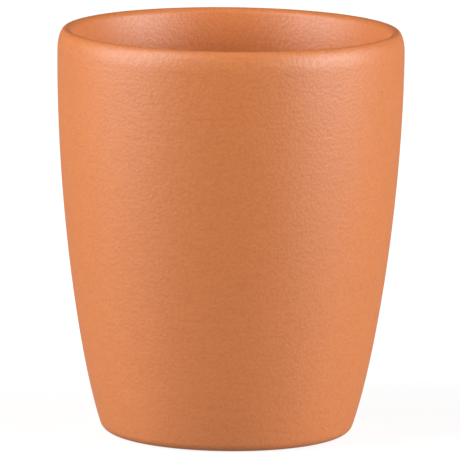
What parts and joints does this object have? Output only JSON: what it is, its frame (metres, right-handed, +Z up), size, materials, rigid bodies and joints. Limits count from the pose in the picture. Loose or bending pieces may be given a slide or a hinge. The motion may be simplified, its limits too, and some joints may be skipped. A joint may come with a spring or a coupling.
{
  "type": "espresso cup",
  "caption": "Handleless espresso cup: round stoneware body tapering to a small heel, rounded lip, satin glaze inside and out, bare foot ring to stand on.",
  "frame": {"origin": "centre of the foot ring on the table, on the axis of turning", "axes": "+Z up along the axis of turning, from the foot to the open mouth; the cup is round, so +X and +Y are alike"},
  "size_m": [0.06, 0.06, 0.0704],
  "materials": {
    "bare_clay": "bare fired stoneware, sanded smooth",
    "outer_glaze": "satin, eggshell grain",
    "liner_glaze": "satin, eggshell grain",
    "underside_glaze": "satin, eggshell grain"
  },
  "bodies": {
    "root": {"clay_body": "bare_clay", "outer_glaze": "outer_glaze", "liner_glaze": "liner_glaze", "underside_glaze": "underside_glaze"}
  },
  "joints": []
}
